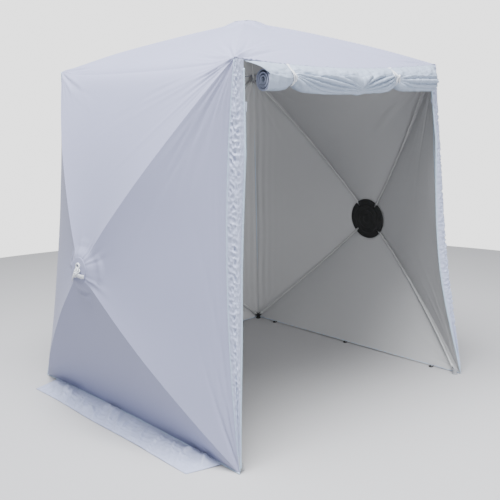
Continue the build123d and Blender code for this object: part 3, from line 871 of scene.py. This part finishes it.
class Jamb:
    """The gathered strip up one side of the doorway, from the wall's front seam to the zip."""

    def __init__(self, name, side):
        self.name = name
        self.side = side
        self.edge = EDGES[f"corner_front_{name}"]

    def door_edge(self, s):
        """The line that the zip runs on: drawn into the doorway, and back into the cabin."""
        height = s * WALL_HEIGHT
        inward = DRAWN_IN * smooth(height / 0.75) ** 0.7 - 0.006 * smooth((height - 0.9) / 0.6)
        back = DRAWN_BACK * np.sin(pi * np.clip(height / 1.42, 0, 1)) ** 1.1
        line = self.edge.start + s[:, None] * (self.edge.end - self.edge.start)
        shift = np.stack([-self.side * inward, back, np.zeros_like(s)], axis=-1)
        return line + shift

    def grid(self, rows=420, columns=44):
        s = np.linspace(0.002, 0.998, rows)
        line = self.edge.start + (s * self.edge.length)[:, None] * self.edge.along
        seam = line + self.edge.shift(s, np.zeros(rows))
        door = self.door_edge(s)
        swell = 0.012 * smooth(s / 0.3)
        knee = line + np.stack([self.side * swell, -swell, np.zeros_like(s)], axis=-1)
        q = np.linspace(0, 1, columns)[None, :, None]
        points = (
            (1 - q) ** 2 * seam[:, None] + 2 * q * (1 - q) * knee[:, None] + q**2 * door[:, None]
        )
        normal = grid_normals(points)
        outward = np.array((self.side, -1.0, 0.0))
        if np.einsum("ijk,k->ij", normal, outward).mean() < 0:
            normal = -normal
        across = np.broadcast_to(q[..., 0], points.shape[:2])
        height = np.broadcast_to((s * WALL_HEIGHT)[:, None], points.shape[:2])
        middle = np.sin(pi * across) ** 0.6
        width = smooth(s / 0.25)[:, None]
        seed = 300 + (self.side > 0)
        crumple = ripples(height, across * 0.08 + height * 0.4, 0.020, seed, 22)
        creases = 1 - 2 * np.abs(ripples(height, across * 0.10 - height * 0.3, 0.038, seed + 5, 16))
        tucks = ripples(height, across * 0.02, 0.013, seed + 9, 12) * np.exp(-across / 0.22)
        relief = 0.0016 * crumple + 0.0030 * creases + 0.0018 * tucks
        pleats = np.sin(2 * pi * (across * 4.2 + 0.12 * np.sin(5 * height) + 0.1))
        relief = relief * width + 0.0055 * pleats * smooth(1.4 - 2 * height) * smooth(height / 0.06)
        return points + normal * (relief * middle)[..., None]


def coil(path):
    """A zip's coil: a slim tube with a tooth at every pitch."""
    lengths = np.concatenate([[0], np.cumsum(np.linalg.norm(np.diff(path, axis=0), axis=1))])
    at = np.linspace(0, lengths[-1], int(lengths[-1] / TOOTH_PITCH * 3))
    dense = np.stack([np.interp(at, lengths, path[:, k]) for k in range(3)], axis=-1)
    radii = COIL_RADIUS + TOOTH_HEIGHT * np.cos(2 * pi * at / TOOTH_PITCH)
    return tube_mesh(dense, radii, 8)


zip_parts = []
for name, side in (("left", -1), ("right", 1)):
    jamb = Jamb(name, side)
    strip = cloth(f"{name}_jamb_strip", jamb.grid(), np.array((side, -1.0, 0)), STRIP, INNER)
    stands_for(strip, f"{name}_jamb")
    s = np.linspace(0.012, 0.975, 220)
    edge_line = jamb.door_edge(s)
    radii = TAPE_RADIUS * smooth(s / 0.05 + 0.3)
    zip_parts.append(tube_mesh(edge_line, radii, 12, squash=TAPE_SQUASH))
    tooth_line = edge_line + np.array((-side * COIL_OFFSET, -0.001, 0))
    zip_parts.append(coil(tooth_line[:-20]))
zips = joined("door_zips", zip_parts, BINDING)
stands_for(zips, "zip_chains")
for name in ("left_zip_slider", "right_zip_slider"):
    repaint(name, SLIDER)


# ---------------- rolled door
ROLL_Y = CENTRE_Y - TOP / 2 - ROLL_DROP * tan(LEAN)
ROLL_Z = WALL_HEIGHT - ROLL_DROP
ROLL_TURNS = 9.0
ROLL_CORE = 0.007  # radius of the hollow in its middle
MEET = radians(58)  # where the header comes down onto the roll, as an angle from its top
HEADER_ROWS = 21
HEADER_PUFF = 0.010
HEADER_FLARE = 0.108  # how far the header spreads past the roll's left end, at the eave
SIDE_HEM_RADIUS = 0.0015
TIE_THICKNESS = 0.0024
NECK_DEPTH = 0.017  # how far the ties squeeze the roll in
END_TAPER = 0.016  # how much slimmer it gets at its right end
ROLL_SAG = 0.013  # how far it hangs between the ties
GATHER_SAG = 0.007  # and further down where its folds come together
TIE_LIFT = 0.008  # how far the ties pull it up
GATHER_X = 0.045  # where the folds between the ties come together
# valleys of the outer lap: place across the bundle of them (rad), depth (m) and width (rad)
BETWEEN_FOLDS = (
    (-0.66, 0.020, 0.10),
    (-0.27, 0.034, 0.09),
    (0.12, 0.036, 0.08),
    (0.46, 0.032, 0.09),
    (0.86, 0.022, 0.10),
)
RIGHT_FOLDS = (
    (-0.75, 0.020, 0.11),
    (-0.18, 0.028, 0.10),
    (0.40, 0.028, 0.10),
    (0.95, 0.020, 0.11),
)
PUFF = 0.027  # how far the outer lap stands off the roll between its folds
EAVE = EDGES["eave_front"]


def eave_point(x):
    s = np.clip((x - EAVE.start[0]) / EAVE.length, 0, 1)
    line = EAVE.start + (s * EAVE.length)[..., None] * EAVE.along
    return line + EAVE.shift(s, np.zeros_like(s))


def roll_shape(x):
    """Radius of the roll and drop of its middle at a place along it."""
    radius = np.full_like(x, ROLL_RADIUS)
    for tie in TIES:
        radius = radius - NECK_DEPTH * np.exp(-np.abs((x - tie) / 0.030) ** 1.4)
    radius = radius - END_TAPER * smooth((x - ROLL_RIGHT + 0.045) / 0.045) ** 2
    between = np.clip((x - TIES[0]) / (TIES[1] - TIES[0]), 0, 1)
    drop = ROLL_SAG * np.sin(pi * between) ** 1.2
    drop = drop + GATHER_SAG * np.exp(-(((x - GATHER_X) / 0.03) ** 2))
    for tie in TIES:
        drop = drop - TIE_LIFT * np.exp(-(((x - tie) / 0.04) ** 2))
    return radius, drop


def crease(x, width):
    """The shape of a sharp fold, 1 high at x = 0."""
    return np.exp(-np.abs(x) / width)


def roll_folds(x, angle):
    """Relief of the big folds in the outer laps, at an angle round the roll from its top."""
    seen = np.sin(np.clip(angle, 0, pi)) ** 0.5
    reach = np.where(x < GATHER_X, GATHER_X - TIES[0], TIES[1] - GATHER_X)
    apart = np.clip(np.abs(x - GATHER_X) / reach, 0, 1)
    inside = smooth((x - TIES[0]) / 0.02) * smooth((TIES[1] - x) / 0.02)
    middle_line = radians(128) - radians(66) * apart**0.8
    spread = 0.30 + 0.95 * np.sin(pi * apart) ** 0.8
    across = (angle - middle_line) / spread
    between = np.full_like(across, PUFF)
    for place, depth, width in BETWEEN_FOLDS:
        between = between - depth * crease(across - place, width)
    between = np.maximum(between, 0) * (0.25 + 0.75 * np.sin(pi * apart) ** 0.5) * inside
    gather = 0.006 * np.exp(-(((x - GATHER_X) / 0.020) ** 2)) * np.cos(4 * angle + 0.6)
    beyond = (x - TIES[1]) / (ROLL_RIGHT - TIES[1])
    right = np.full_like(across, 0.7 * PUFF)
    for place, depth, width in RIGHT_FOLDS:
        fan = radians(82) + place * (0.35 + 0.65 * smooth(beyond / 0.45))
        right = right - depth * crease(angle - fan, width)
    right = np.maximum(right, 0) * smooth(beyond / 0.10) * smooth((1 - beyond) / 0.10)
    ruched = 0.0026 * np.cos(15.0 * angle + 9 * x) * smooth((x - ROLL_RIGHT + 0.09) / 0.07)
    before = smooth((TIES[0] - x) / 0.02)
    left = 0.006 * crease(angle - radians(95) + 4.0 * (TIES[0] - x), 0.20) * before
    left = left + 0.005 * crease(angle - radians(125) - 2.0 * (TIES[0] - x), 0.15) * before
    fine = 0.0018 * ripples(x, angle * 0.05, 0.030, 401, 16)
    return (between + gather + right + ruched + left + fine) * seen


def wound_share(share):
    """The laps lie in three bundles with air between them, as a loosely rolled door has."""
    bundle, within = np.divmod(3 * share, 1.0)
    return (bundle + 0.45 * within + 0.55 * smooth((within - 0.70) / 0.30)) / 3


def roll_grid(columns=380):
    """The door's cloth: from the eave down over the front of the roll, then round and inwards."""
    x = np.linspace(ROLL_LEFT, ROLL_RIGHT, columns)
    radius, drop = roll_shape(x)
    rows, laps = [], []
    eave = eave_point(x) + np.array((0, -0.0030, 0.0005))
    on_roll = radius + 0.6 * roll_folds(x, np.full_like(x, MEET))
    target_y = ROLL_Y - on_roll * sin(MEET)
    target_z = ROLL_Z - drop + on_roll * cos(MEET)
    pinch = sum(np.exp(-(((x - tie) / 0.022) ** 2)) for tie in TIES)
    for share in np.linspace(0, 1, HEADER_ROWS + 1)[:-1]:
        bow = 0.35 * share * (1 - share)
        y = eave[:, 1] + (target_y - eave[:, 1]) * (share + bow)
        z = eave[:, 2] + (target_z - eave[:, 2]) * (share - bow * 0.4)
        puff = 0.55 + 0.45 * ripples(x, share * 0.03, 0.15, 403, 8)
        y = y - HEADER_PUFF * puff * (1 - pinch) * sin(pi * share)
        y = y + 0.0022 * ripples(x, share * 0.08, 0.034, 402, 14) * sin(pi * share) ** 0.5
        rows.append(np.stack([x, y, z], axis=-1))
        laps.append(1 - share)
    end = 2 * pi * ROLL_TURNS
    outer = np.arange(MEET, 2 * pi, radians(3.5))
    for angle in np.concatenate([outer, np.arange(2 * pi, end, radians(10))]):
        wound = wound_share((angle - MEET) / (end - MEET))
        reach = ROLL_CORE + (radius - ROLL_CORE) * (1 - wound**0.9)
        lap = max(0.0, 1 - (angle - MEET) / (2.1 * pi))
        folds = roll_folds(x, np.full_like(x, angle)) * lap if angle < 2 * pi else 0.0
        r = reach * (1 + 0.05 * cos(2 * angle)) + folds
        y = ROLL_Y - r * sin(angle)
        z = ROLL_Z - drop + r * cos(angle)
        rows.append(np.stack([x, y, z], axis=-1))
        laps.append(0.0)
    grid = np.array(rows)
    spread = np.array(laps)[:, None] ** 1.2 * np.exp(-((grid[..., 0] - ROLL_LEFT) / 0.06))
    grid[..., 0] -= HEADER_FLARE * spread
    return grid


door_cloth = roll_grid()
roll = cloth("door_roll", door_cloth, np.array((0, -1.0, 0)), DOOR, DOOR)
stands_for(roll, "rolled_door")

# the hems down the door's sides, which show as rings at the ends of the roll
door_sides = [door_cloth[HEADER_ROWS + 2 :, end] for end in (0, -1)]
side_hems = [tube_mesh(door_side, SIDE_HEM_RADIUS, 8) for door_side in door_sides]
door_hems = joined("door_side_hems", side_hems, STRIP)
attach(door_hems, "frame")


def tie_parts(x, width, tilt, tails):
    """A band from the eave round the roll and back up behind it, with its knot and tails."""
    radius, drop = roll_shape(np.array([x]))
    reach = radius[0] + 0.0045
    middle_z = ROLL_Z - drop[0]
    top = eave_point(np.array([x]))[0] + np.array((0, -0.002, 0.002))
    path = [top, (x, ROLL_Y - reach * 0.72, middle_z + reach * 0.80)]
    for angle in np.linspace(radians(70), radians(290), 12):
        path.append((x, ROLL_Y - reach * sin(angle), middle_z + reach * cos(angle)))
    path.append((x, ROLL_Y + reach * 0.35, middle_z + reach * 1.15))
    path = curve_through(path, 90)
    path[:, 0] += tilt * np.sin(np.linspace(0, pi, 90))
    parts = [ribbon_mesh(path, (1, 0, 0), width, TIE_THICKNESS)]
    knot_z = middle_z + reach * 0.25
    front = ROLL_Y - reach * 0.97
    for way in tails:
        points = [(x + dx, front - dy, knot_z + dz) for dx, dy, dz in way]
        tail = curve_through(points, 24)
        parts.append(ribbon_mesh(tail, (0.9, 0, 0.45), width * 0.55, TIE_THICKNESS))
    return parts


# each tail as places across, in front of and above its knot
LEFT_TAIL = (
    (-0.008, 0.004, 0.012), (0.0, 0.010, 0.002), (0.006, 0.010, -0.010), (0.004, 0.004, -0.026),
)
RIGHT_TAILS = (
    ((-0.010, 0.004, 0.016), (0.002, 0.012, 0.004), (0.010, 0.010, -0.010), (0.012, 0.004, -0.030)),
    ((0.012, 0.004, 0.014), (0.002, 0.013, 0.006), (-0.008, 0.010, -0.006), (-0.014, 0.004, -0.022)),
)
strap_parts = tie_parts(TIES[0], 0.015, 0.004, [LEFT_TAIL])
strap_parts += tie_parts(TIES[1] + 0.006, 0.015, 0.010, RIGHT_TAILS)
strap_parts += tie_parts(TIES[1] - 0.010, 0.012, -0.006, [])
straps = joined("door_straps", strap_parts, WEBBING)
stands_for(straps, "door_ties")


# ---------------- skirts and peg loops
SKIRT_TUCK = 0.004  # how far the skirt reaches in under the wall
SKIRT_LOWEST = 0.0016  # of its upper side, over the ground
LOOP_LEVEL = 0.0045
LOOP_BEND = 0.0115  # radius of the bight round the peg
LOOP_FOOT = 0.010  # half the distance between the loop's two ends
LOOP_BAND = (0.0070, 0.0028)


def skirt_grid(turn, seed, columns=260, rows=26):
    """A strip of cloth lying on the ground outside a wall, with its soft folds."""
    level = level_way(turn)
    along = np.cross(level, UP)
    foot = np.array((0, CENTRE_Y, 0)) + level * (BASE / 2)
    s, q = np.meshgrid(np.linspace(-1, 1, columns), np.linspace(0, 1, rows), indexing="ij")
    half_length = (BASE / 2 - SKIRT_INNER_INSET) * (1 - q) + (BASE / 2 - SKIRT_OUTER_INSET) * q
    u = s * half_length
    out = -SKIRT_TUCK + (SKIRT_WIDTH + SKIRT_TUCK) * q
    out = out + 0.005 * ripples(u, 0 * q, 0.5, seed, 6) * q
    broad = np.maximum(0, ripples(u, out * 2.0, 0.34, seed + 1, 10)) * 0.020
    fold = 0.020 * np.exp(-(((out - 0.060 - 0.02 * np.sin(3 * u)) / 0.016) ** 2))
    fine = 0.0034 * (1 + ripples(u, out * 2.5, 0.050, seed + 2, 14))
    height = 0.0022 + (broad * (1 - 0.6 * q) + fine) * np.sin(pi * np.clip(q * 0.85 + 0.08, 0, 1))
    height = height + fold * (0.5 + 0.5 * np.sin(2.2 * u + seed))
    slant = ripples(u + 0.9 * out, out * 0.4 - u * 0.2, 0.16, seed + 3, 9)
    height = height + 0.0180 * np.exp(-np.abs(slant) / 0.16) * np.sin(pi * q) ** 0.5
    height = 0.0018 + (height - 0.0018) * smooth((1 - np.abs(s)) / 0.10)
    height = height + 0.0045 * (1 - q) ** 2
    height = np.maximum(height, SKIRT_LOWEST)
    return foot + u[..., None] * along + out[..., None] * level + height[..., None] * UP


# the skirts take the lighter strip cloth on both sides: painted light, which brightens them where
# they lie in the walls' shade
for name, turn, seed in (("left", 180, 501), ("back", 90, 511), ("right", 0, 521)):
    skirt = cloth(f"{name}_ground_skirt", skirt_grid(turn, seed), UP, STRIP, STRIP)
    stands_for(skirt, f"{name}_skirt")

loop_parts = []
for turn in (180, 90, 0):
    level = level_way(turn)
    along = np.cross(level, UP)
    foot = np.array((0, CENTRE_Y, 0)) + level * (BASE / 2 - 0.005)
    for place in (-LOOP_SPACING, 0.0, LOOP_SPACING):
        middle = foot + along * place - level * (LOOP_SIZE / 2)
        way = [foot + along * (place + LOOP_FOOT)]
        for angle in np.linspace(radians(-60), radians(240), 30):
            way.append(middle + LOOP_BEND * (cos(angle) * along - sin(angle) * level))
        way.append(foot + along * (place - LOOP_FOOT))
        way = np.array(way)
        way[:, 2] = LOOP_LEVEL
        loop_parts.append(ribbon_mesh(way, UP, *LOOP_BAND))
loops = joined("peg_loop_webbing", loop_parts, DARK_WEBBING)
stands_for(loops, "peg_loops")

# ---------------- floor, light and camera
FLOOR_RADIUS = 4.6
FLOOR_SIDES = 128
# name, place, the point it faces, size (m), power (W) and colour
LIGHTS = (
    ("overhead", (-1.7, -1.0, 6.5), (0, 0, 0.8), 3.6, 1380, (0.97, 0.98, 1.0)),
    ("front_fill", (-3.8, -5.0, 4.8), (0, 0, 0.9), 3.0, 130, (1, 1, 1)),
    ("doorway_fill", (0.2, -3.2, 0.9), (0, 0.5, 0.9), 1.4, 44, (1, 1, 1)),
)
SKY_COLOUR = (0.94, 0.96, 1.0, 1)
SKY_STRENGTH = 0.42
BACKDROP_STRENGTH = 2.4
CAMERA_PLACE = (-2.9576, -3.2514 + CENTRE_Y, 1.6368)
CAMERA_YAW = 0.7386
CAMERA_PITCH = -0.1924
CAMERA_ROLL = -0.0181
CAMERA_LENS = 54.03  # mm, on a 36 mm wide sensor

floor_material = new_material("pale_floor", (0.45, 0.45, 0.46), 0.9)[0]
rim = np.linspace(0, 2 * pi, FLOOR_SIDES, endpoint=False)
floor_points = FLOOR_RADIUS * np.stack([np.cos(rim), np.sin(rim), 0 * rim], axis=-1)
floor = mesh_object("floor", floor_points, [tuple(range(FLOOR_SIDES))], [floor_material])


for name, place, target, size, power, colour in LIGHTS:
    lamp = bpy.data.lights.new(name, "AREA")
    lamp.size = size
    lamp.energy = power
    lamp.color = colour
    light = bpy.data.objects.new(name, lamp)
    bpy.context.scene.collection.objects.link(light)
    light.location = place
    way = unit(np.array(target) - np.array(place))
    light.rotation_mode = "QUATERNION"
    light.rotation_quaternion = Vector(way).to_track_quat("-Z", "Y")

# the camera sees a plain pale backdrop, and the cloth is lit by a dimmer, bluish sky
world = bpy.data.worlds.new("studio")
bpy.context.scene.world = world
world.use_nodes = True
tree = world.node_tree
sky = tree.nodes["Background"]
sky.inputs["Color"].default_value = SKY_COLOUR
sky.inputs["Strength"].default_value = SKY_STRENGTH
backdrop = tree.nodes.new("ShaderNodeBackground")
backdrop.inputs["Color"].default_value = (1, 1, 1, 1)
backdrop.inputs["Strength"].default_value = BACKDROP_STRENGTH
seen = tree.nodes.new("ShaderNodeLightPath")
either = tree.nodes.new("ShaderNodeMixShader")
tree.links.new(seen.outputs["Is Camera Ray"], either.inputs["Fac"])
tree.links.new(sky.outputs["Background"], either.inputs[1])
tree.links.new(backdrop.outputs["Background"], either.inputs[2])
tree.links.new(either.outputs["Shader"], tree.nodes["World Output"].inputs["Surface"])

camera_data = bpy.data.cameras.new("camera")
camera_data.lens = CAMERA_LENS
camera_data.sensor_width = 36.0
camera = bpy.data.objects.new("camera", camera_data)
bpy.context.scene.collection.objects.link(camera)
camera.matrix_world = (
    Matrix.Translation(CAMERA_PLACE)
    @ Matrix.Rotation(-CAMERA_YAW, 4, "Z")
    @ Matrix.Rotation(pi / 2 + CAMERA_PITCH, 4, "X")
    @ Matrix.Rotation(CAMERA_ROLL, 4, "Z")
)
bpy.context.scene.camera = camera
